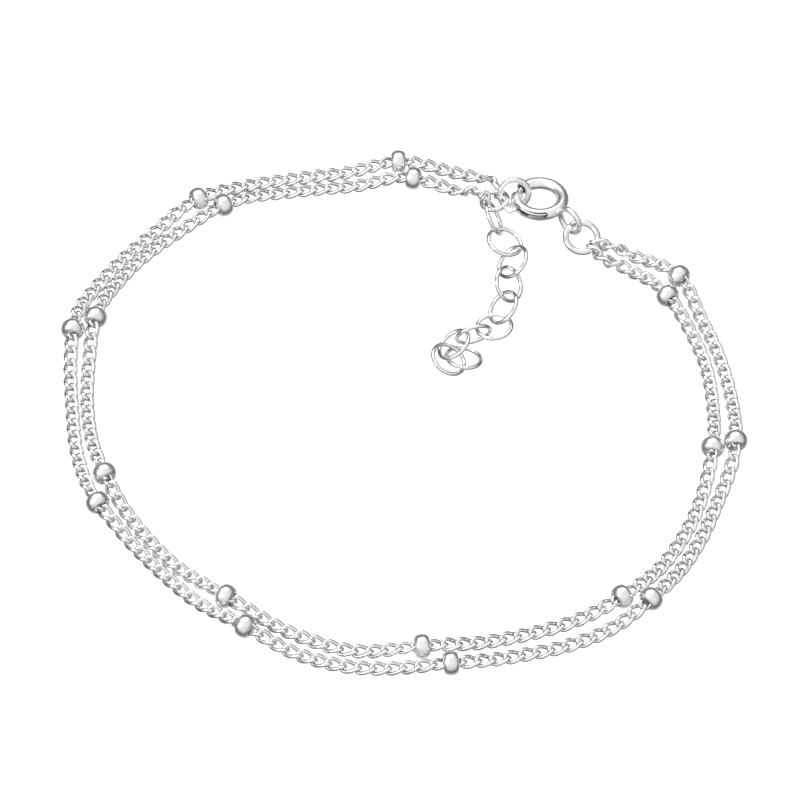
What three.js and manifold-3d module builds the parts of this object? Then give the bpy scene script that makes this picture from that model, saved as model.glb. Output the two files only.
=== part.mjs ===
// A fastened two-strand chain bracelet with beads, a spring-ring clasp and an extension chain.
// It lies on the plane z = 0, with X to the right, Y to the rear and the middle of its box at the origin.
import * as THREE from 'three';
import { mergeVertices } from 'three/addons/utils/BufferGeometryUtils.js';
import Module from 'manifold-3d';

const wasm = await Module();
wasm.setup();

// Driving dimensions in millimetres and degrees

// Strands: each fine curb chain is stood for by a tube of its outer size
const chain = { diameter: 0.95, sides: 8, steps: 78, lowMiddle: 0.66, riseLength: 6 };

// The last link of each strand, an upright oval that holds a jump ring
const endLink = { halfLength: 0.8, halfHeight: 0.56, wire: 0.16, sides: 6, segments: 12 };

// Plain rondelle beads
const bead = { diameter: 2.2, length: 1.36, bore: 1.32, sides: 14 };

// Round jump rings: mean radius of the ring and radius of its wire
const ringSides = { wire: 6, ring: 16 };
const endRing = { mean: 1.22, wire: 0.23 };
const catchRing = { mean: 1.38, wire: 0.26 };
const claspRing = { mean: 1.5, wire: 0.29 };
const extensionLink = { mean: 1.6, wire: 0.19 };

// Spring-ring clasp: a hollow ring with a gap, a slot for the lever and a soldered eyelet.
// Angles run round the clasp's own axis from X towards Y.
const clasp = {
  x: 13.0, y: 23.45, z: 1.5, tilt: 8,
  mean: 2.15, tube: 0.6, bore: 0.42, sides: 14, steps: 36,
  lowerArm: 168, upperArm: 140,
  slotFrom: 206, slotTo: 286, slotRise: 35, slotWidth: 0.56,
  eyeletAt: -47, eyeletMean: 1.25, eyeletWire: 0.25, eyeletSunk: 0.2,
};
const bolt = {
  wire: 0.28, sides: 8, steps: 20, tip: 128, tail: 300,
  leverAt: 213, neckHalf: 0.2, neckLength: 0.95, tabHalf: 0.58, tabLength: 0.98, tabBack: 0.15, thickness: 0.24,
};

// Plan of the two strands round the wrist, as radii from the origin every ten degrees,
// from the end ring at the rear, round the left side, the front and the right side to the clasp ring
const firstAngle = 70;
const angleStep = 10;
const strandRadii = [
  { outer: 27.7, inner: 25.4 },
  { outer: 27.9, inner: 25.7 },
  { outer: 28.3, inner: 26.4 },
  { outer: 27.9, inner: 26.2 },
  { outer: 28.5, inner: 26.9 },
  { outer: 29.7, inner: 28.1 },
  { outer: 30.6, inner: 28.7 },
  { outer: 30.8, inner: 29.4 },
  { outer: 31.3, inner: 30.0 },
  { outer: 31.8, inner: 30.0 },
  { outer: 30.9, inner: 29.2 },
  { outer: 30.1, inner: 28.7 },
  { outer: 29.9, inner: 28.3 },
  { outer: 29.6, inner: 27.7 },
  { outer: 28.6, inner: 27.1 },
  { outer: 28.1, inner: 26.7 },
  { outer: 28.0, inner: 26.3 },
  { outer: 27.9, inner: 26.2 },
  { outer: 28.3, inner: 26.5 },
  { outer: 28.5, inner: 26.8 },
  { outer: 28.3, inner: 26.5 },
  { outer: 28.5, inner: 26.4 },
  { outer: 28.8, inner: 26.8 },
  { outer: 29.8, inner: 27.6 },
  { outer: 30.6, inner: 28.6 },
  { outer: 30.7, inner: 29.0 },
  { outer: 30.5, inner: 29.0 },
  { outer: 30.3, inner: 28.8 },
  { outer: 30.6, inner: 28.6 },
  { outer: 30.2, inner: 28.4 },
  { outer: 29.8, inner: 28.3 },
  { outer: 29.5, inner: 27.9 },
  { outer: 29.6, inner: 27.3 },
  { outer: 27.6, inner: 26.0 },
];

// Angle of each pair of beads round the loop
const beadAngles = [
  { outer: 90.6, inner: 87.6 },
  { outer: 128.8, inner: 126.1 },
  { outer: 164.5, inner: 160.9 },
  { outer: 202.0, inner: 196.3 },
  { outer: 240.4, inner: 233.6 },
  { outer: 278.7, inner: 273.9 },
  { outer: 315.9, inner: 312.7 },
  { outer: 352.1, inner: 350.1 },
  { outer: 389.5, inner: 386.5 },
];

// Where each jump ring lies: its middle, and how far its axis leans from upright and towards which angle
const endRingPlace = { x: 8.75, y: 23.2, z: 1.55, lean: 12, towards: 140 };
const catchRingPlace = { x: 10.6, y: 23.88, z: 1.74, lean: 60, towards: -79 };
const claspRingPlace = { x: 16.85, y: 19.05, z: 1.25, lean: 15, towards: -70 };
const extensionPlaces = [
  { x: 8.65, y: 21.0, z: 1.7, lean: 64, towards: 7 },
  { x: 9.65, y: 18.6, z: 1.15, lean: 18, towards: 14 },
  { x: 10.35, y: 16.0, z: 1.45, lean: 39, towards: 180 },
  { x: 9.95, y: 13.4, z: 1.42, lean: 49, towards: -22 },
  { x: 9.4, y: 10.8, z: 1.3, lean: 42, towards: 180 },
  { x: 8.55, y: 8.75, z: 1.07, lean: 11, towards: 123 },
  { x: 6.6, y: 7.3, z: 1.8, lean: 78, towards: 106 },
  { x: 4.8, y: 6.05, z: 1.95, lean: 35, towards: 166 },
  { x: 4.3, y: 4.7, z: 1.47, lean: 27, towards: 0 },
  { x: 5.7, y: 5.35, z: 0.81, lean: 21, towards: 66 },
];

// Each strand leaves the route of radii at these angles for its jump rings
const routeAngles = { outer: { start: 73, end: 400 }, inner: { start: 77, end: 400 } };

// Where on its jump ring each strand's last link sits, and which way it heads, as angles round the ring
const hooks = {
  outer: { start: { at: 78, heads: 105 }, end: { at: -20, heads: -20 } },
  inner: { start: { at: 143, heads: 150 }, end: { at: -50, heads: -50 } },
};
const hookGap = 0.1;
const leadLength = { start: 0.5, end: 1.0 };

const silver = { color: 0xd6d7d9, roughness: 0.16, metalness: 1.0 };
const degrees = THREE.MathUtils.degToRad;

const bracelet = new THREE.Group();

function addPiece(parent, name, geometry) {
  const mesh = new THREE.Mesh(geometry, new THREE.MeshStandardMaterial(silver));
  mesh.name = name;
  parent.add(mesh);
  return mesh;
}

// Joining and cutting of closed meshes

function toSolid(geometry) {
  const bare = geometry.clone();
  bare.deleteAttribute('normal');
  bare.deleteAttribute('uv');
  const merged = mergeVertices(bare, 1e-4);
  const vertProperties = new Float32Array(merged.attributes.position.array);
  const triVerts = new Uint32Array(merged.index.array);
  return new wasm.Manifold(new wasm.Mesh({ numProp: 3, vertProperties, triVerts }));
}

function toGeometry(solid) {
  const { vertProperties, triVerts } = solid.getMesh();
  const geometry = new THREE.BufferGeometry();
  geometry.setAttribute('position', new THREE.BufferAttribute(vertProperties, 3));
  geometry.setIndex(new THREE.BufferAttribute(triVerts, 1));
  geometry.computeVertexNormals();
  return geometry;
}

// Profiles and paths

function roundProfile(radius, sides) {
  const corners = Array.from({ length: sides }, (_, k) => {
    const angle = (2 * Math.PI * k) / sides;
    return new THREE.Vector2(radius * Math.cos(angle), radius * Math.sin(angle));
  });
  return new THREE.Shape(corners);
}

function sweep(profile, path, steps) {
  return new THREE.ExtrudeGeometry(profile, { extrudePath: path, steps, bevelEnabled: false });
}

class ArcPath extends THREE.Curve {
  constructor(radius, from, to) {
    super();
    Object.assign(this, { radius, from: degrees(from), to: degrees(to) });
  }

  getPoint(t, target = new THREE.Vector3()) {
    const angle = this.from + t * (this.to - this.from);
    return target.set(this.radius * Math.cos(angle), this.radius * Math.sin(angle), 0);
  }
}

// Jump rings and extension links

function leanRotation(place) {
  return new THREE.Euler(0, degrees(place.lean), degrees(place.towards), 'ZYX');
}

function addRing(name, size, place) {
  const geometry = new THREE.TorusGeometry(size.mean, size.wire, ringSides.wire, ringSides.ring);
  const mesh = addPiece(bracelet, name, geometry);
  mesh.position.set(place.x, place.y, place.z);
  mesh.rotation.copy(leanRotation(place));
}

addRing('end_ring', endRing, endRingPlace);
addRing('catch_ring', catchRing, catchRingPlace);
addRing('clasp_ring', claspRing, claspRingPlace);
extensionPlaces.forEach((place, k) => addRing(`extension_link_${k + 1}`, extensionLink, place));

// Strands

function radiusAt(side, angle) {
  const points = strandRadii.map((row, k) => new THREE.Vector2(k, row[side]));
  const along = (angle - firstAngle) / angleStep / (strandRadii.length - 1);
  return new THREE.SplineCurve(points).getPoint(THREE.MathUtils.clamp(along, 0, 1)).y;
}

// A strand is held up at the beads and sinks to the table between them
function heightAt(side, angle) {
  const radius = radiusAt(side, angle);
  const apart = beadAngles.map((row) => Math.abs(degrees(angle - row[side])) * radius);
  const near = Math.min(1, Math.min(...apart) / chain.riseLength);
  const rise = Math.cos((near * Math.PI) / 2) ** 2;
  return chain.lowMiddle + (bead.diameter / 2 - chain.lowMiddle) * rise;
}

function strandPoint(side, angle) {
  const radius = radiusAt(side, angle);
  const turn = degrees(angle);
  return new THREE.Vector3(radius * Math.cos(turn), radius * Math.sin(turn), heightAt(side, angle));
}

// The middle of a jump ring's wire at an angle, with the level direction in which the last link heads
function hookFrame(place, size, hook) {
  const turn = degrees(hook.at - place.towards);
  const radial = new THREE.Vector3(Math.cos(turn), Math.sin(turn), 0).applyEuler(leanRotation(place));
  const point = new THREE.Vector3(place.x, place.y, place.z).addScaledVector(radial, size.mean);
  const outward = new THREE.Vector3(Math.cos(degrees(hook.heads)), Math.sin(degrees(hook.heads)), 0);
  const inside = (size.wire + endLink.wire + hookGap) / Math.cos(degrees(hook.heads - hook.at));
  return { point, outward, inside };
}

function makeEndLink(hook) {
  const middle = hook.point.clone().addScaledVector(hook.outward, endLink.halfLength - hook.inside);
  const up = new THREE.Vector3(0, 0, 1);
  const turns = new THREE.Matrix4().makeBasis(hook.outward, up, hook.outward.clone().cross(up));
  const oval = new THREE.TorusGeometry(1, endLink.wire, endLink.sides, endLink.segments);
  const position = oval.attributes.position;
  for (let k = 0; k < position.count; k += 1) {
    const ringAngle = Math.atan2(position.getY(k), position.getX(k));
    const beyond = Math.hypot(position.getX(k), position.getY(k)) - 1;
    const x = (endLink.halfLength + beyond) * Math.cos(ringAngle);
    const y = (endLink.halfHeight + beyond) * Math.sin(ringAngle);
    position.setXYZ(k, x, y, position.getZ(k));
  }
  oval.applyMatrix4(turns);
  oval.translate(middle.x, middle.y, middle.z);
  return { geometry: oval, tubeEnd: middle.clone().addScaledVector(hook.outward, endLink.halfLength) };
}

function leadFrom(link, hook, length) {
  return link.tubeEnd.clone().addScaledVector(hook.outward, length);
}

function addStrand(side) {
  const start = hookFrame(endRingPlace, endRing, hooks[side].start);
  const end = hookFrame(claspRingPlace, claspRing, hooks[side].end);
  const firstLink = makeEndLink(start);
  const lastLink = makeEndLink(end);
  const { start: from, end: to } = routeAngles[side];
  const points = [firstLink.tubeEnd, leadFrom(firstLink, start, leadLength.start)];
  for (let angle = from; angle <= to; angle += angleStep / 4) {
    points.push(strandPoint(side, angle));
  }
  points.push(leadFrom(lastLink, end, leadLength.end), lastLink.tubeEnd);
  const path = new THREE.CatmullRomCurve3(points);
  const tube = sweep(roundProfile(chain.diameter / 2, chain.sides), path, chain.steps);
  const joined = toSolid(tube).add(toSolid(firstLink.geometry)).add(toSolid(lastLink.geometry));
  addPiece(bracelet, `strand_${side}`, toGeometry(joined));
}

addStrand('outer');
addStrand('inner');

// Beads: a rounded rim turned about the bore

function beadGeometry() {
  const rim = bead.diameter / 2;
  const hole = bead.bore / 2;
  const half = bead.length / 2;
  const profile = [
    new THREE.Vector2(hole, -half * 0.8),
    new THREE.Vector2(hole + 0.12, -half),
    new THREE.Vector2(rim - 0.14, -half * 0.72),
    new THREE.Vector2(rim, -half * 0.26),
    new THREE.Vector2(rim, half * 0.26),
    new THREE.Vector2(rim - 0.14, half * 0.72),
    new THREE.Vector2(hole + 0.12, half),
    new THREE.Vector2(hole, half * 0.8),
    new THREE.Vector2(hole, -half * 0.8),
  ];
  const geometry = new THREE.LatheGeometry(profile, bead.sides);
  geometry.rotateZ(-Math.PI / 2);
  return geometry;
}

function addBeads(side) {
  beadAngles.forEach((row, k) => {
    const angle = row[side];
    const before = strandPoint(side, angle - 1);
    const after = strandPoint(side, angle + 1);
    const middle = strandPoint(side, angle);
    const mesh = addPiece(bracelet, `bead_${side}_${k + 1}`, beadGeometry());
    mesh.position.copy(middle);
    mesh.rotation.z = Math.atan2(after.y - before.y, after.x - before.x);
  });
}

addBeads('outer');
addBeads('inner');

// Clasp: the body and the bolt lie in one group that leans as the clasp does

const claspGroup = new THREE.Group();
claspGroup.position.set(clasp.x, clasp.y, clasp.z);
claspGroup.rotation.x = -degrees(clasp.tilt);
bracelet.add(claspGroup);

function ringArc(radius, sides, from, to, steps) {
  return sweep(roundProfile(radius, sides), new ArcPath(clasp.mean, from, to), steps);
}

function slotGeometry() {
  // A band from the middle of the tube outwards and up, wide enough for the lever
  const rise = degrees(clasp.slotRise);
  const half = clasp.slotWidth / 2;
  const reach = 2 * clasp.tube;
  const corner = (along, across) => new THREE.Vector2(
    -along * Math.sin(rise) - across * Math.cos(rise),
    -along * Math.cos(rise) + across * Math.sin(rise),
  );
  const start = 0.1;
  const corners = [corner(start, -half), corner(reach, -half), corner(reach, half), corner(start, half)];
  const band = new THREE.Shape(corners);
  return sweep(band, new ArcPath(clasp.mean, clasp.slotFrom, clasp.slotTo), 10);
}

function eyeletGeometry() {
  const reach = clasp.mean + clasp.tube + clasp.eyeletWire - clasp.eyeletSunk + clasp.eyeletMean;
  const { eyeletMean, eyeletWire } = clasp;
  const geometry = new THREE.TorusGeometry(eyeletMean, eyeletWire, ringSides.wire, ringSides.ring);
  geometry.rotateX(Math.PI / 2);
  geometry.translate(reach, 0, 0);
  geometry.rotateZ(degrees(clasp.eyeletAt));
  return geometry;
}

function claspBodyGeometry() {
  const upper = clasp.upperArm + 360;
  const step = (upper - clasp.lowerArm) / clasp.steps;
  const tube = toSolid(ringArc(clasp.tube, clasp.sides, clasp.lowerArm, upper, clasp.steps));
  const bore = ringArc(clasp.bore, clasp.sides, clasp.lowerArm - step, upper + step, clasp.steps + 2);
  const soldered = tube.add(toSolid(eyeletGeometry()));
  const body = soldered.subtract(toSolid(bore)).subtract(toSolid(slotGeometry()));
  return toGeometry(body);
}

function plateGeometry(outline) {
  const sheet = { depth: bolt.thickness, bevelEnabled: false, curveSegments: 6 };
  const geometry = new THREE.ExtrudeGeometry(outline, sheet);
  geometry.translate(0, 0, -bolt.thickness / 2);
  return geometry;
}

function leverGeometry() {
  // A neck that leaves the tube through the slot, and a level tab with a round end on top of it
  const { neckHalf, neckLength, tabHalf, tabLength, tabBack } = bolt;
  const rise = degrees(clasp.slotRise);
  const neckOutline = new THREE.Shape();
  neckOutline.moveTo(0, -neckHalf);
  neckOutline.lineTo(neckLength, -neckHalf);
  neckOutline.lineTo(neckLength, neckHalf);
  neckOutline.lineTo(0, neckHalf);
  const neck = plateGeometry(neckOutline);
  neck.rotateY(-rise);
  const tabOutline = new THREE.Shape();
  tabOutline.moveTo(-tabBack, -tabHalf);
  tabOutline.lineTo(tabLength - tabHalf, -tabHalf);
  tabOutline.absarc(tabLength - tabHalf, 0, tabHalf, -Math.PI / 2, Math.PI / 2, false);
  tabOutline.lineTo(-tabBack, tabHalf);
  const tab = plateGeometry(tabOutline);
  tab.translate(neckLength * Math.cos(rise), 0, neckLength * Math.sin(rise));
  const lever = toGeometry(toSolid(neck).add(toSolid(tab)));
  lever.translate(clasp.mean, 0, 0);
  lever.rotateZ(degrees(bolt.leverAt));
  return lever;
}

function boltGeometry() {
  const wire = ringArc(bolt.wire, bolt.sides, bolt.tip, bolt.tail, bolt.steps);
  return toGeometry(toSolid(wire).add(toSolid(leverGeometry())));
}

addPiece(claspGroup, 'clasp_body', claspBodyGeometry());
addPiece(claspGroup, 'clasp_bolt', boltGeometry());

export default bracelet;
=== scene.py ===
import bpy
import numpy as np
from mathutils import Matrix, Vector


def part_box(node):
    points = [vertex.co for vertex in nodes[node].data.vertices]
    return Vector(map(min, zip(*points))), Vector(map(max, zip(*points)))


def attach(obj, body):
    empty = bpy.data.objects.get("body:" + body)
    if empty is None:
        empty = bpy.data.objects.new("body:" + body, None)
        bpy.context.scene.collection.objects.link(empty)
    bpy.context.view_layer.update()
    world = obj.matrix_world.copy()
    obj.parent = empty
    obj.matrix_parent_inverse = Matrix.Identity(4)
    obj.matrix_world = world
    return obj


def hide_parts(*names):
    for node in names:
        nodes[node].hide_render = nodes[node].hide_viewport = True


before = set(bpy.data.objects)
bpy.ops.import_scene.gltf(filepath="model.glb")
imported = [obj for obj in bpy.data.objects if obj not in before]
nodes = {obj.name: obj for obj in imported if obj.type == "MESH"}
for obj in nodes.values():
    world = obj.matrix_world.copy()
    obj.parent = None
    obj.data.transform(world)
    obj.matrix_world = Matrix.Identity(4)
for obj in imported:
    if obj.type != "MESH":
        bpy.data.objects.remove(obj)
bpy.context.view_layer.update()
mm = 0.001
fullTurn = 2 * np.pi
print("frame loaded:", len(nodes), "nodes")


# camera at the photograph's angle, lengths in millimetres

camera = {
    "elevation": 54.0, "distance": 420.0, "target": (-0.154, 0.565, 0.8),
    "lens": 206.96, "sensor": 36.0, "nearest": 10.0,
}


def placeCamera():
    data = bpy.data.cameras.new("photoCamera")
    data.lens = camera["lens"]
    data.sensor_width = camera["sensor"]
    data.clip_start = camera["nearest"] * mm
    eye = bpy.data.objects.new("photoCamera", data)
    rise = np.radians(camera["elevation"])
    away = camera["distance"] * np.array([0.0, -np.cos(rise), np.sin(rise)])
    eye.location = (np.array(camera["target"]) + away) * mm
    eye.rotation_euler = (np.pi / 2 - rise, 0.0, 0.0)
    bpy.context.scene.collection.objects.link(eye)
    bpy.context.scene.camera = eye


placeCamera()
print("camera placed")


# silver finishes: a polished metal whose gloss and tone drift with two sizes of noise

finishes = {
    "chain_silver": {"tone": 0.86, "drift": 0.05, "rough": (0.10, 0.20), "grain": 1500.0, "bump": 0.06},
    "bead_silver": {"tone": 0.91, "drift": 0.03, "rough": (0.22, 0.32), "grain": 900.0, "bump": 0.03},
    "ring_silver": {"tone": 0.90, "drift": 0.04, "rough": (0.08, 0.16), "grain": 1200.0, "bump": 0.05},
    "clasp_silver": {"tone": 0.95, "drift": 0.03, "rough": (0.22, 0.32), "grain": 700.0, "bump": 0.05},
}
finishNoise = {"toneShare": 0.4, "bumpShare": 3.0, "bumpDepth": 0.02,
               "darkBlue": 1.01, "lightBlue": 1.005}


def silverFinish(slot):
    made = finishes[slot]
    material = bpy.data.materials.new(slot + "_polished")
    material.use_nodes = True
    tree = material.node_tree
    shader = tree.nodes["Principled BSDF"]
    shader.inputs["Metallic"].default_value = 1.0
    place = tree.nodes.new("ShaderNodeTexCoord")

    def noise(scale, detail):
        cloud = tree.nodes.new("ShaderNodeTexNoise")
        cloud.inputs["Scale"].default_value = scale
        cloud.inputs["Detail"].default_value = detail
        tree.links.new(place.outputs["Object"], cloud.inputs["Vector"])
        return cloud.outputs["Fac"]

    ramp = tree.nodes.new("ShaderNodeValToRGB")  # slightly darker and lighter silver
    dark, light = made["tone"] - made["drift"], made["tone"] + made["drift"]
    ramp.color_ramp.elements[0].color = (dark, dark, dark * finishNoise["darkBlue"], 1.0)
    ramp.color_ramp.elements[1].color = (light, light, light * finishNoise["lightBlue"], 1.0)
    tree.links.new(noise(made["grain"] * finishNoise["toneShare"], 2.0), ramp.inputs["Fac"])
    tree.links.new(ramp.outputs["Color"], shader.inputs["Base Color"])

    gloss = tree.nodes.new("ShaderNodeMapRange")  # handling wear in the polish
    gloss.inputs["To Min"].default_value, gloss.inputs["To Max"].default_value = made["rough"]
    tree.links.new(noise(made["grain"], 3.0), gloss.inputs["Value"])
    tree.links.new(gloss.outputs["Result"], shader.inputs["Roughness"])

    bump = tree.nodes.new("ShaderNodeBump")  # hair-fine unevenness of drawn and tumbled metal
    bump.inputs["Strength"].default_value = made["bump"]
    bump.inputs["Distance"].default_value = finishNoise["bumpDepth"] * mm
    tree.links.new(noise(made["grain"] * finishNoise["bumpShare"], 2.0), bump.inputs["Height"])
    tree.links.new(bump.outputs["Normal"], shader.inputs["Normal"])
    return material


silver = {slot: silverFinish(slot) for slot in finishes}
print("finishes made:", ", ".join(silver))


# meshes from grids of points

def gridFaces(rows, columns, closeRows, closeColumns):
    # each cell of the grid is a quad, with the last row or column joined to the first where it closes
    row = np.arange(rows if closeRows else rows - 1)[:, None]
    column = np.arange(columns if closeColumns else columns - 1)[None, :]
    nextRow, nextColumn = (row + 1) % rows, (column + 1) % columns
    cells = [row * columns + column, nextRow * columns + column,
             nextRow * columns + nextColumn, row * columns + nextColumn]
    return np.stack(cells, -1).reshape(-1, 4)


def facingOut(points, quads):
    # six times the volume is the sum of a . (b x c) over the triangles; where negative, quads turn round
    a, b, c, d = (points[quads[:, k]] for k in range(4))
    volume = np.sum(a * np.cross(b, c)) + np.sum(a * np.cross(c, d))
    return quads if volume > 0 else quads[:, ::-1]


def makePiece(name, points, quads, slot, body, replaced=(), sharp=None):
    mesh = bpy.data.meshes.new(name)
    mesh.from_pydata((points * mm).tolist(), [], facingOut(points - points.mean(0), quads).tolist())
    mesh.polygons.foreach_set("use_smooth", np.ones(len(quads), dtype=bool))
    if sharp:
        mesh.set_sharp_from_angle(angle=np.radians(sharp))
    mesh.materials.append(silver[slot])
    piece = bpy.data.objects.new(name, mesh)
    bpy.context.scene.collection.objects.link(piece)
    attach(piece, body)
    if replaced:
        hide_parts(*replaced)
    return piece


def nodePoints(node):
    mesh = nodes[node].data
    points = np.empty(3 * len(mesh.vertices), dtype=np.float32)
    mesh.vertices.foreach_get("co", points)
    return points.reshape(-1, 3).astype(float) / mm


# jump rings and extension links

ringMesh = {"around": 96, "wire": 16, "fuller": 1.1,
            "seamDepth": 0.16, "seamWidth": 0.035, "firstSeam": 0.7, "seamStep": 2.4}
ringNames = ["end_ring", "catch_ring", "clasp_ring"] + [f"extension_link_{k}" for k in range(1, 11)]


def ringPose(node):
    # the middle of the solid's points, the direction of least spread, and the radii from their reach
    points = nodePoints(node)
    middle = points.mean(0)
    normal = np.linalg.svd(points - middle, full_matrices=False)[2][2]
    normal = normal * np.sign(normal[2])
    level = np.cross([0.0, 0.0, 1.0], normal)
    level = level / np.linalg.norm(level)
    flat = (points - middle) - np.outer((points - middle) @ normal, normal)
    reach = np.linalg.norm(flat, axis=1)
    outer, inner = reach.max(), reach.min()
    return {"middle": middle, "normal": normal, "level": level, "across": np.cross(normal, level),
            "mean": (outer + inner) / 2, "wire": ringMesh["fuller"] * (outer - inner) / 2}


def ringPoints(pose, seamAt):
    # a torus: middle + (mean + wire cos v)(level cos u + across sin u) + wire sin v normal,
    # with the wire pinched where its two ends meet
    u = np.linspace(0, fullTurn, ringMesh["around"], endpoint=False) + seamAt
    v = np.linspace(0, fullTurn, ringMesh["wire"], endpoint=False)[None, :, None]
    fromSeam = (np.arctan2(np.sin(u - seamAt), np.cos(u - seamAt)) / ringMesh["seamWidth"]) ** 2
    wire = (pose["wire"] * (1 - ringMesh["seamDepth"] * np.exp(-fromSeam)))[:, None, None]
    radial = np.outer(np.cos(u), pose["level"]) + np.outer(np.sin(u), pose["across"])
    around = (pose["mean"] + wire * np.cos(v)) * radial[:, None]
    return pose["middle"] + around + wire * np.sin(v) * pose["normal"]


ringPoses = {name: ringPose(name) for name in ringNames}
ringQuads = gridFaces(ringMesh["around"], ringMesh["wire"], True, True)
for count, name in enumerate(ringNames):
    seamAt = ringMesh["seamStep"] * count + ringMesh["firstSeam"]
    ring = ringPoints(ringPoses[name], seamAt).reshape(-1, 3)
    makePiece(name + "_wire", ring, ringQuads, "ring_silver", "bracelet", [name])
print("rings made:", len(ringNames))


# the route of the two strands, as radii every ten degrees from the end ring round to the clasp ring

route = {
    "firstAngle": 70.0, "angleStep": 10.0, "knotStep": 2.5, "pastEnd": 0.1,
    "lowMiddle": 0.46, "riseLength": 6.0,
    "leaves": {"outer": (73.0, 400.0), "inner": (77.0, 400.0)},
    "outer": (27.7, 27.9, 28.3, 27.9, 28.5, 29.7, 30.6, 30.8, 31.3, 31.8, 30.9, 30.1,
              29.9, 29.6, 28.6, 28.1, 28.0, 27.9, 28.3, 28.5, 28.3, 28.5, 28.8, 29.8,
              30.6, 30.7, 30.5, 30.3, 30.6, 30.2, 29.8, 29.5, 29.6, 27.6),
    "inner": (25.4, 25.7, 26.4, 26.2, 26.9, 28.1, 28.7, 29.4, 30.0, 30.0, 29.2, 28.7,
              28.3, 27.7, 27.1, 26.7, 26.3, 26.2, 26.5, 26.8, 26.5, 26.4, 26.8, 27.6,
              28.6, 29.0, 29.0, 28.8, 28.6, 28.4, 28.3, 27.9, 27.3, 26.0),
}
strandSides = ("outer", "inner")
beadCount = 9
bead = {"radius": 1.1, "halfLength": 0.68, "bore": 0.66, "fullness": 2.1,
        "around": 56, "outside": 25, "inside": 7}


def beadMiddle(side, number):
    low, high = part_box(f"bead_{side}_{number}")
    return (np.array(low) + np.array(high)) / 2 / mm


beadMiddles = {
    side: np.array([beadMiddle(side, k + 1) for k in range(beadCount)]) for side in strandSides
}
beadRadius = beadMiddles["outer"][0, 2]


def routeAngle(points):
    # degrees from the X axis, counted on past a full turn so that they grow along the strand
    bare = np.degrees(np.arctan2(points[:, 1], points[:, 0]))
    return (bare - route["firstAngle"]) % 360 + route["firstAngle"]


def throughPoints(values, at):
    # the smooth curve through evenly spaced values, each stretch a cubic with its neighbours' slopes
    values = np.array(values)
    last = len(values) - 1
    left = np.clip(np.floor(at).astype(int), 0, last - 1)
    t = (at - left).reshape((-1,) + (1,) * (values.ndim - 1))
    before, start = values[np.maximum(left - 1, 0)], values[left]
    end, after = values[left + 1], values[np.minimum(left + 2, last)]
    slopeIn, slopeOut = (end - before) / 2, (after - start) / 2
    return ((2 * start - 2 * end + slopeIn + slopeOut) * t ** 3
            + (-3 * start + 3 * end - 2 * slopeIn - slopeOut) * t ** 2 + slopeIn * t + start)


def strandPoints(side, angles):
    # polar plan through the radii; the height is a squared cosine hump at each bead, low between them
    radius = throughPoints(route[side], (angles - route["firstAngle"]) / route["angleStep"])
    apart = np.abs(angles[:, None] - routeAngle(beadMiddles[side])[None, :]).min(1)
    near = np.minimum(1, np.radians(apart) * radius / route["riseLength"])
    height = route["lowMiddle"] + (beadRadius - route["lowMiddle"]) * np.cos(near * np.pi / 2) ** 2
    turn = np.radians(angles)
    return np.stack([radius * np.cos(turn), radius * np.sin(turn), height], -1)


# curb chain

chain = {"pitch": 1.33, "halfLength": 0.87, "halfWidth": 0.48, "twist": -0.27, "wire": 0.205,
         "around": 18, "sides": 6, "hookGap": 0.05, "leads": (0.9, 1.8), "pathSteps": 12,
         "uprightLinks": 3, "inBead": 0.84}
hooks = {
    "outer": {"end_ring": {"at": 78.0, "heads": 105.0}, "clasp_ring": {"at": -20.0, "heads": -20.0}},
    "inner": {"end_ring": {"at": 143.0, "heads": 150.0}, "clasp_ring": {"at": -50.0, "heads": -50.0}},
}


def direction(angle):
    return np.array([np.cos(np.radians(angle)), np.sin(np.radians(angle)), 0.0])


def hookedMiddle(ring, hook):
    # the first link's middle lies so that its end is just inside the ring's wire, heading away level
    pose = ringPoses[ring]
    flat = direction(hook["at"])
    radial = flat - (flat @ pose["normal"]) * pose["normal"]
    radial = radial / np.linalg.norm(radial)
    outward = direction(hook["heads"])
    inside = (pose["wire"] + chain["wire"] + chain["hookGap"]) / (flat @ outward)
    return pose["middle"] + pose["mean"] * radial + (chain["halfLength"] - inside) * outward, outward


def linkShape():
    # a twisted oval, x = a cos t, y = b sin t, z = c sin 2t, with a round wire carried along it
    t = np.linspace(0, fullTurn, chain["around"], endpoint=False)
    a, b, c = chain["halfLength"], chain["halfWidth"], chain["twist"]
    line = np.stack([a * np.cos(t), b * np.sin(t), c * np.sin(2 * t)], -1)
    along = np.stack([-a * np.sin(t), b * np.cos(t), 2 * c * np.cos(2 * t)], -1)
    along = along / np.linalg.norm(along, axis=1, keepdims=True)
    side = np.cross(along, [0.0, 0.0, 1.0])
    side = side / np.linalg.norm(side, axis=1, keepdims=True)
    up = np.cross(side, along)
    v = np.linspace(0, fullTurn, chain["sides"], endpoint=False)[None, :, None]
    section = np.cos(v) * side[:, None] + np.sin(v) * up[:, None]
    return (line[:, None] + chain["wire"] * section).reshape(-1, 3)


def chainPath(side):
    # dense points from the first link's middle to the last one's, smooth where leads join the route
    start, startWay = hookedMiddle("end_ring", hooks[side]["end_ring"])
    end, endWay = hookedMiddle("clasp_ring", hooks[side]["clasp_ring"])
    fromAngle, toAngle = route["leaves"][side]
    middle = strandPoints(side, np.arange(fromAngle, toAngle + route["pastEnd"], route["knotStep"]))
    startLead, endLead = chain["leads"]
    firstKnots = [start, start + startLead * startWay]
    lastKnots = [end + endLead * endWay, end]
    knots = np.concatenate([firstKnots, middle, lastKnots])
    return throughPoints(knots, np.linspace(0, len(knots) - 1, chain["pathSteps"] * len(knots)))


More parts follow.
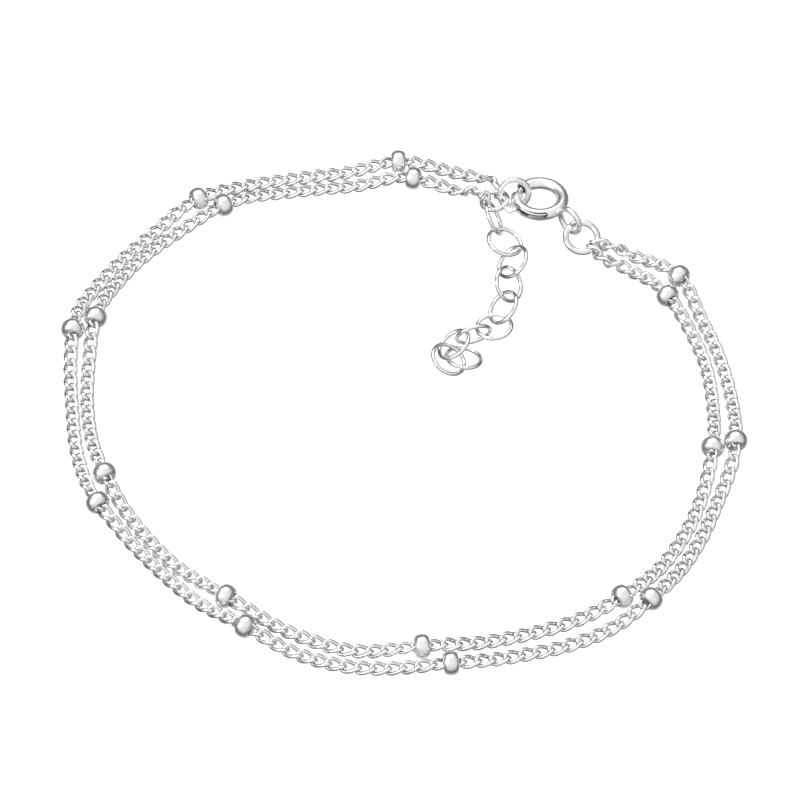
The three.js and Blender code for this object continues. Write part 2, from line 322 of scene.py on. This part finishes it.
def linkPlaces(path):
    # link middles at equal lengths along the path, with the direction of travel there
    length = np.concatenate([[0], np.cumsum(np.linalg.norm(np.diff(path, axis=0), axis=1))])
    count = int(round(length[-1] / chain["pitch"])) + 1
    at = np.linspace(0, length[-1], count)
    reach = chain["pitch"] / 2

    def pointAt(s):
        return np.stack([np.interp(s, length, path[:, k]) for k in range(3)], -1)

    way = pointAt(np.minimum(at + reach, length[-1])) - pointAt(np.maximum(at - reach, 0))
    return pointAt(at), way / np.linalg.norm(way, axis=1, keepdims=True)


def chainPoints(side):
    # every link is the same shape in the frame of its place; the last few stand up towards the rings
    middles, way = linkPlaces(chainPath(side))
    level = np.cross([0.0, 0.0, 1.0], way)
    level = level / np.linalg.norm(level, axis=1, keepdims=True)
    up = np.cross(way, level)
    order = np.arange(len(middles))
    fromEnd = np.minimum(order, len(middles) - 1 - order)
    roll = (np.pi / 2 * np.clip(1 - fromEnd / chain["uprightLinks"], 0, 1))[:, None]
    across = np.cos(roll) * level + np.sin(roll) * up
    above = np.cos(roll) * up - np.sin(roll) * level
    toBead = np.linalg.norm(middles[:, None] - beadMiddles[side][None], axis=2).min(1)
    # links are drawn together in a bead, and one that would sink rests on the table
    width = np.where(toBead < 2 * bead["halfLength"], chain["inBead"], 1.0)[:, None]
    axes = np.stack([way, width * across, above], 1)
    links = middles[:, None] + np.einsum("ns,lsk->lnk", linkShape(), axes)
    links[..., 2] -= np.minimum(links[..., 2].min(1), 0)[:, None]
    return links


for side in strandSides:
    links = chainPoints(side)
    oneLink = gridFaces(chain["around"], chain["sides"], True, True)
    firstPoint = links.shape[1] * np.arange(len(links))[:, None, None]
    allLinks = (oneLink[None] + firstPoint).reshape(-1, 4)
    makePiece(f"strand_{side}_curb_chain", links.reshape(-1, 3), allLinks,
              "chain_silver", "bracelet", [f"strand_{side}"])
    print("curb chain", side, "links:", len(links))


# beads

def beadPoints(middle, heading):
    # a rim turned about the bore: outside |x/h|^n + |(r - bore)/(R - bore)|^n = 1, inside straight
    t = np.linspace(-np.pi / 2, np.pi / 2, bead["outside"])
    power = 2 / bead["fullness"]
    x = bead["halfLength"] * np.sign(np.sin(t)) * np.abs(np.sin(t)) ** power
    r = bead["bore"] + (bead["radius"] - bead["bore"]) * np.maximum(np.cos(t), 0) ** power
    boreX = np.linspace(bead["halfLength"], -bead["halfLength"], bead["inside"] + 2)[1:-1]
    x = np.concatenate([x, boreX])[None, :, None]
    r = np.concatenate([r, np.full(bead["inside"], bead["bore"])])[None, :, None]
    u = np.linspace(0, fullTurn, bead["around"], endpoint=False)[:, None, None]
    along = np.array([np.cos(heading), np.sin(heading), 0.0])
    across = np.array([-np.sin(heading), np.cos(heading), 0.0])
    up = np.array([0.0, 0.0, 1.0])
    return middle + x * along + r * (np.cos(u) * across + np.sin(u) * up)


beadQuads = gridFaces(bead["around"], bead["outside"] + bead["inside"], True, True)
for side in strandSides:
    angles = routeAngle(beadMiddles[side])
    travel = strandPoints(side, angles + 1) - strandPoints(side, angles - 1)
    headings = np.arctan2(travel[:, 1], travel[:, 0])
    for k in range(beadCount):
        rondelle = beadPoints(beadMiddles[side][k], headings[k]).reshape(-1, 3)
        makePiece(f"bead_{side}_{k + 1}_rondelle", rondelle, beadQuads,
                  "bead_silver", "bracelet", [f"bead_{side}_{k + 1}"])
print("beads made:", 2 * beadCount)


# spring-ring clasp: its angles run round its own axis, which leans to the rear

clasp = {
    "middle": (13.0, 23.45, 1.5), "tilt": 8.0, "mean": 2.15, "tube": 0.6, "bore": 0.42,
    "lowerArm": 168.0, "upperArm": 500.0, "steps": 170, "sides": 44,
    "slotFrom": 206.0, "slotTo": 286.0, "slotRise": 35.0, "slotHalf": 0.28, "slotEnd": 6.0,
    "slotMargin": 0.5, "slotNear": 2.0, "slotSteps": 24, "mouthReach": 10.0, "mouthSteps": 14,
    "rearReach": 4.0, "rearSteps": 8, "lip": 0.05, "lipWidth": 5.0, "edge": 0.05, "edgeWidth": 1.2,
    "eyeletAt": -47.0, "eyeletMean": 1.25, "eyeletWire": 0.28, "eyeletReach": 4.05, "crease": 50.0,
}


def claspToPlace(points):
    # turned about X by the tilt and moved to the clasp's place
    lean = np.radians(clasp["tilt"])
    x, y, z = points[..., 0], points[..., 1], points[..., 2]
    rearward = y * np.cos(lean) + z * np.sin(lean)
    upward = z * np.cos(lean) - y * np.sin(lean)
    return np.stack([x, rearward, upward], -1) + np.array(clasp["middle"])


def claspBodyPoints():
    # a tube wall carried round an arc: its section is an outer and an inner arc that part at the slot
    near, margin = clasp["slotEnd"] + clasp["slotNear"], clasp["slotMargin"]
    phi = np.concatenate([
        np.linspace(clasp["lowerArm"], clasp["upperArm"], clasp["steps"]),
        np.linspace(clasp["slotFrom"] - margin, clasp["slotFrom"] + near, clasp["slotSteps"]),
        np.linspace(clasp["slotTo"] - near, clasp["slotTo"] + margin, clasp["slotSteps"]),
        np.linspace(clasp["upperArm"] - clasp["mouthReach"], clasp["upperArm"], clasp["mouthSteps"]),
        np.linspace(clasp["lowerArm"], clasp["lowerArm"] + clasp["rearReach"], clasp["rearSteps"]),
    ])
    phi = np.unique(np.round(phi, 4))
    slotMiddle = (clasp["slotFrom"] + clasp["slotTo"]) / 2
    slotReach = (clasp["slotTo"] - clasp["slotFrom"]) / 2
    pastEnd = np.abs(phi - slotMiddle) - slotReach + clasp["slotEnd"]
    pastEnd = np.clip(pastEnd / clasp["slotEnd"], 0, 1)
    gap = np.arcsin(clasp["slotHalf"] / clasp["tube"]) * np.sqrt(1 - pastEnd ** 2)
    fromMouth = clasp["upperArm"] - phi
    fromTail = phi - clasp["lowerArm"]
    rounding = np.exp(-fromMouth / clasp["edgeWidth"]) + np.exp(-fromTail / clasp["edgeWidth"])
    lip = clasp["lip"] * np.exp(-(fromMouth / clasp["lipWidth"]) ** 2)
    outer = clasp["tube"] + lip - clasp["edge"] * rounding
    share = np.linspace(0, 1, clasp["sides"])[None, :]
    theta = np.radians(clasp["slotRise"]) + gap[:, None] + share * (fullTurn - 2 * gap[:, None])
    theta = np.concatenate([theta, theta[:, ::-1]], 1)
    radius = np.concatenate([np.repeat(outer[:, None], clasp["sides"], 1),
                             np.full((len(phi), clasp["sides"]), clasp["bore"])], 1)
    turn = np.radians(phi)[:, None]
    reach = clasp["mean"] + radius * np.cos(theta)
    return np.stack([reach * np.cos(turn), reach * np.sin(turn), radius * np.sin(theta)], -1)


def claspBodyQuads(rows):
    # the wall all round, and a ring of quads from the outer to the inner arc at each end
    columns = 2 * clasp["sides"]
    wall = gridFaces(rows, columns, False, True)
    k = np.arange(clasp["sides"] - 1)
    face = np.stack([k, k + 1, columns - 2 - k, columns - 1 - k], -1)
    return np.concatenate([wall, face, face[:, ::-1] + (rows - 1) * columns])


def claspEyeletPoints():
    # an upright torus outside the tube, reach + mean cos u along the arm's direction, mean sin u up
    u = np.linspace(0, fullTurn, ringMesh["around"], endpoint=False)[:, None]
    v = np.linspace(0, fullTurn, ringMesh["wire"], endpoint=False)[None, :]
    ring = clasp["eyeletMean"] + clasp["eyeletWire"] * np.cos(v)
    out = clasp["eyeletReach"] + ring * np.cos(u)
    beside = clasp["eyeletWire"] * np.sin(v) + 0 * u
    at = np.radians(clasp["eyeletAt"])
    x = out * np.cos(at) - beside * np.sin(at)
    y = out * np.sin(at) + beside * np.cos(at)
    return np.stack([x, y, ring * np.sin(u)], -1)


claspBody = claspBodyPoints()
makePiece("clasp_body_tube", claspToPlace(claspBody).reshape(-1, 3), claspBodyQuads(len(claspBody)),
          "clasp_silver", "bracelet", ["clasp_body"], sharp=clasp["crease"])
makePiece("clasp_eyelet", claspToPlace(claspEyeletPoints()).reshape(-1, 3), ringQuads,
          "clasp_silver", "bracelet")
print("clasp body made")


# clasp bolt with its lever

bolt = {
    "wire": 0.28, "tip": 128.0, "tail": 300.0, "tailWire": 0.18, "taper": 8.0, "endShare": 1e-4,
    "steps": 110, "sides": 16, "leverAt": 213.0,
    "neckHalf": 0.2, "neckLength": 0.95, "neckSquare": 4, "neckRows": 10, "neckSides": 20,
    "tabHalf": 0.58, "tabLength": 0.98, "tabBack": 0.15, "tabSquare": 3, "tabAround": 48,
    "thickness": 0.24, "softEdge": 0.09, "edgeRows": 6, "closing": 0.001, "crease": 60.0,
}


def boltPoints():
    # a round wire along an arc, thinner behind the lever, whose ends are drawn in as half spheres
    s = np.linspace(0, 1, bolt["steps"])
    s = (1 - np.cos(np.pi * s)) / 2
    length = np.radians(bolt["tail"] - bolt["tip"]) * clasp["mean"]
    fromEnd = np.minimum(s, 1 - s) * length
    inward = np.clip(1 - fromEnd / bolt["wire"], 0, 1)
    phi = bolt["tip"] + s * (bolt["tail"] - bolt["tip"])
    thin = np.clip((phi - bolt["leverAt"]) / bolt["taper"] - 1, 0, 1)
    wire = bolt["wire"] + (bolt["tailWire"] - bolt["wire"]) * thin
    wire = (wire * np.sqrt(np.maximum(1 - inward ** 2, bolt["endShare"])))[:, None]
    phi = np.radians(phi)[:, None]
    v = np.linspace(0, fullTurn, bolt["sides"], endpoint=False)[None, :]
    reach = clasp["mean"] + wire * np.cos(v)
    return np.stack([reach * np.cos(phi), reach * np.sin(phi), wire * np.sin(v) + 0 * phi], -1)


def leverPlace(u, v, z):
    # u outwards from the tube's middle, v along the tube and z up, turned to the lever's angle
    at = np.radians(bolt["leverAt"])
    out = clasp["mean"] + u
    return np.stack([out * np.cos(at) - v * np.sin(at), out * np.sin(at) + v * np.cos(at), z], -1)


def neckPoints():
    # a rounded bar from the bolt's middle through the slot: |v/a|^n + |w/b|^n = 1 along the rise
    rise = np.radians(clasp["slotRise"])
    along = np.linspace(0, bolt["neckLength"], bolt["neckRows"])[:, None]
    t = np.linspace(0, fullTurn, bolt["neckSides"], endpoint=False)[None, :]
    power = 2 / bolt["neckSquare"]
    v = bolt["neckHalf"] * np.sign(np.cos(t)) * np.abs(np.cos(t)) ** power + 0 * along
    w = bolt["thickness"] / 2 * np.sign(np.sin(t)) * np.abs(np.sin(t)) ** power
    outward = along * np.cos(rise) - w * np.sin(rise)
    return leverPlace(outward, v, along * np.sin(rise) + w * np.cos(rise))


def tabPoints():
    # layers of the outline |x/a|^n + |v/b|^n = 1, drawn in by a quarter circle at both faces
    rise, half, soft = np.radians(clasp["slotRise"]), bolt["thickness"] / 2, bolt["softEdge"]
    curl = np.linspace(0, np.pi / 2, bolt["edgeRows"])
    inset = np.concatenate([soft * (1 - np.sin(curl)), soft * (1 - np.cos(curl))])
    level = np.concatenate([-half + soft * (1 - np.cos(curl)), half - soft * (1 - np.sin(curl))])
    share = np.concatenate([[bolt["closing"]], 1 - inset / bolt["tabHalf"], [bolt["closing"]]])[:, None]
    level = np.concatenate([[-half], level, [half]])[:, None]
    t = np.linspace(0, fullTurn, bolt["tabAround"], endpoint=False)[None, :]
    reach = (bolt["tabLength"] + bolt["tabBack"]) / 2
    power = 2 / bolt["tabSquare"]
    x = reach * np.sign(np.cos(t)) * np.abs(np.cos(t)) ** power * share
    v = bolt["tabHalf"] * np.sign(np.sin(t)) * np.abs(np.sin(t)) ** power * share
    start = bolt["neckLength"] * np.cos(rise) - bolt["tabBack"] + reach
    return leverPlace(start + x, v, bolt["neckLength"] * np.sin(rise) + level + 0 * x)


def endCaps(rows, columns):
    # fans of quads that close the first and last ring of a swept tube across its width
    k = np.arange(columns // 2 - 1)
    cap = np.stack([k, k + 1, columns - 2 - k, columns - 1 - k], -1)
    return np.concatenate([cap, cap[:, ::-1] + (rows - 1) * columns])


def cappedTube(points):
    # the wall of a swept tube and its two ends
    rows, columns = points.shape[:2]
    return np.concatenate([gridFaces(rows, columns, False, True), endCaps(rows, columns)])


boltWire, neck, tab = boltPoints(), neckPoints(), tabPoints()
makePiece("clasp_bolt_wire", claspToPlace(boltWire).reshape(-1, 3), cappedTube(boltWire),
          "clasp_silver", "bolt", ["clasp_bolt"])
makePiece("clasp_bolt_neck", claspToPlace(neck).reshape(-1, 3), cappedTube(neck),
          "clasp_silver", "bolt", sharp=bolt["crease"])
makePiece("clasp_bolt_tab", claspToPlace(tab).reshape(-1, 3), cappedTube(tab),
          "clasp_silver", "bolt", sharp=bolt["crease"])
print("clasp bolt made")


# floor and light: a bright light table, and a studio whose tone changes along a leaning axis

studio = {"floorSize": 1.6, "floorTone": 0.9, "floorGlow": 0.78, "floorRough": 0.9, "floorShine": 0.1,
          "skyBlue": 1.01}
skyAxis = (0.0, -0.45, 0.89)  # upwards, leaning to the front
# share of the axis in the direction, grey tone
skyTones = [(-1.0, 0.90), (-0.75, 0.66), (-0.45, 0.24), (-0.1, 0.09),
            (0.12, 0.28), (0.35, 0.66), (0.7, 0.82), (1.0, 0.92)]
softboxes = [
    {"name": "rearSoftbox", "place": (-0.10, 0.42, 0.62), "size": (0.80, 0.36), "power": 2.0},
    {"name": "leftSoftbox", "place": (-0.6, -0.25, 0.55), "size": (0.36, 0.6), "power": 1.5},
]


def makeFloor():
    half = studio["floorSize"] / 2
    corners = [(-half, -half, 0), (half, -half, 0), (half, half, 0), (-half, half, 0)]
    mesh = bpy.data.meshes.new("paleFloor")
    mesh.from_pydata(corners, [], [(0, 1, 2, 3)])
    glass = bpy.data.materials.new("paleFloorLightTable")
    glass.use_nodes = True
    shader = glass.node_tree.nodes["Principled BSDF"]
    shader.inputs["Base Color"].default_value = (studio["floorTone"],) * 3 + (1.0,)
    shader.inputs["Roughness"].default_value = studio["floorRough"]
    shader.inputs["Specular IOR Level"].default_value = studio["floorShine"]
    shader.inputs["Emission Color"].default_value = (1.0, 1.0, 1.0, 1.0)
    shader.inputs["Emission Strength"].default_value = studio["floorGlow"]
    mesh.materials.append(glass)
    floor = bpy.data.objects.new("paleFloor", mesh)
    floor.visible_glossy = False  # the metal mirrors the dark studio, not the glowing table
    bpy.context.scene.collection.objects.link(floor)


def makeSoftbox(box):
    light = bpy.data.lights.new(box["name"], "AREA")
    light.shape = "RECTANGLE"
    light.size, light.size_y = box["size"]
    light.energy = box["power"]
    lamp = bpy.data.objects.new(box["name"], light)
    place = np.array(box["place"])
    x, y, z = place / np.linalg.norm(place)
    lamp.location = place
    lamp.rotation_euler = (np.arccos(z), 0.0, np.arctan2(y, x) + np.pi / 2)
    bpy.context.scene.collection.objects.link(lamp)


def makeWorld():
    # grey tones by the share of the axis in the direction, dark about the horizon and pale above and below
    world = bpy.data.worlds.new("studioWorld")
    world.use_nodes = True
    tree = world.node_tree
    place = tree.nodes.new("ShaderNodeTexCoord")
    height = tree.nodes.new("ShaderNodeVectorMath")
    height.operation = "DOT_PRODUCT"
    height.inputs[1].default_value = skyAxis
    share = tree.nodes.new("ShaderNodeMapRange")
    share.inputs["From Min"].default_value = -1.0
    ramp = tree.nodes.new("ShaderNodeValToRGB")
    stops = ramp.color_ramp.elements
    for _ in range(len(skyTones) - 2):
        stops.new(0.5)
    for stop, (level, tone) in zip(stops, skyTones):
        stop.position = (level + 1) / 2
        stop.color = (tone, tone, tone * studio["skyBlue"], 1.0)
    tree.links.new(place.outputs["Generated"], height.inputs[0])
    tree.links.new(height.outputs["Value"], share.inputs["Value"])
    tree.links.new(share.outputs["Result"], ramp.inputs["Fac"])
    tree.links.new(ramp.outputs["Color"], tree.nodes["Background"].inputs["Color"])
    bpy.context.scene.world = world


makeFloor()
for box in softboxes:
    makeSoftbox(box)
makeWorld()
bpy.context.scene.view_settings.view_transform = "Standard"
print("studio lit")
